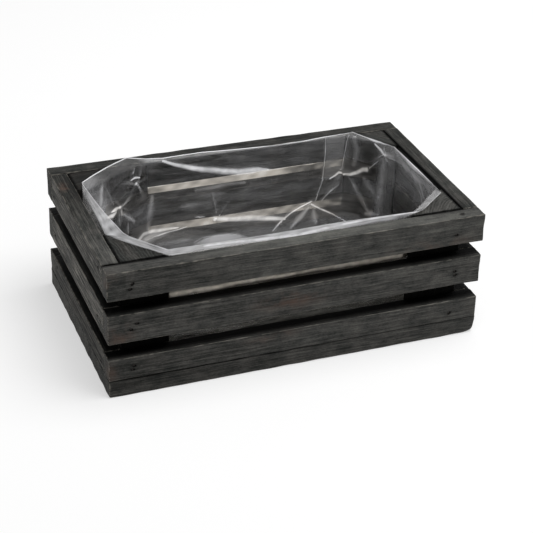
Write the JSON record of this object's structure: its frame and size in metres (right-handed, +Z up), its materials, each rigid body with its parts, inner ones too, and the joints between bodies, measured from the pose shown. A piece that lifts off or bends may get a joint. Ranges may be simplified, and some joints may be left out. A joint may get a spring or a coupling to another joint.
{
  "type": "wooden planter box",
  "caption": "Low rectangular planter box of dark stained slats with gaps between them, triangular corner posts, a board floor and a clear film liner.",
  "frame": {"origin": "on the ground under the middle of the box, at the centre of the floor's underside", "axes": "+X along the length towards the right end, +Y from the front to the back, +Z up"},
  "size_m": [0.34, 0.2, 0.124],
  "materials": {
    "slat_wood": "charcoal stained softwood, fine grain along each slat, worn edges",
    "post_wood": "charcoal stained softwood, end grain on top",
    "floor_wood": "charcoal stained softwood boards",
    "clear_film": "thin clear crumpled polythene film",
    "nail_steel": "dark sunk wire nails",
    "staple_wire": "bright galvanised wire"
  },
  "bodies": {
    "root": {"back_slat_bottom": "slat_wood", "back_slat_middle": "slat_wood", "back_slat_top": "slat_wood", "corner_post_back_left": "post_wood", "corner_post_back_right": "post_wood", "corner_post_front_left": "post_wood", "corner_post_front_right": "post_wood", "film_liner": "clear_film", "floor_board_back": "floor_wood", "floor_board_front": "floor_wood", "floor_board_middle": "floor_wood", "front_slat_bottom": "slat_wood", "front_slat_middle": "slat_wood", "front_slat_top": "slat_wood", "left_end_slat_bottom": "slat_wood", "left_end_slat_middle": "slat_wood", "left_end_slat_top": "slat_wood", "liner_staple_back_left": "staple_wire", "liner_staple_back_left_lower": "staple_wire", "liner_staple_back_right": "staple_wire", "liner_staple_front_left": "staple_wire", "liner_staple_front_right": "staple_wire", "nail_back_bottom_left_1": "nail_steel", "nail_back_bottom_right_1": "nail_steel", "nail_back_middle_left_1": "nail_steel", "nail_back_middle_right_1": "nail_steel", "nail_back_top_left_1": "nail_steel", "nail_back_top_right_1": "nail_steel", "nail_floor_back_left": "nail_steel", "nail_floor_back_right": "nail_steel", "nail_floor_front_left": "nail_steel", "nail_floor_front_right": "nail_steel", "nail_floor_middle_left": "nail_steel", "nail_floor_middle_right": "nail_steel", "nail_front_bottom_left_1": "nail_steel", "nail_front_bottom_left_2": "nail_steel", "nail_front_bottom_right_1": "nail_steel", "nail_front_middle_left_1": "nail_steel", "nail_front_middle_left_2": "nail_steel", "nail_front_middle_right_1": "nail_steel", "nail_front_middle_right_2": "nail_steel", "nail_front_top_left_1": "nail_steel", "nail_front_top_left_2": "nail_steel", "nail_front_top_right_1": "nail_steel", "nail_left_bottom_back_1": "nail_steel", "nail_left_bottom_front_1": "nail_steel", "nail_left_middle_back_1": "nail_steel", "nail_left_middle_front_1": "nail_steel", "nail_left_middle_front_2": "nail_steel", "nail_left_top_back_1": "nail_steel", "nail_left_top_front_1": "nail_steel", "nail_right_bottom_back_1": "nail_steel", "nail_right_bottom_front_1": "nail_steel", "nail_right_middle_back_1": "nail_steel", "nail_right_middle_front_1": "nail_steel", "nail_right_top_back_1": "nail_steel", "nail_right_top_front_1": "nail_steel", "right_end_slat_bottom": "slat_wood", "right_end_slat_middle": "slat_wood", "right_end_slat_top": "slat_wood"}
  },
  "joints": []
}
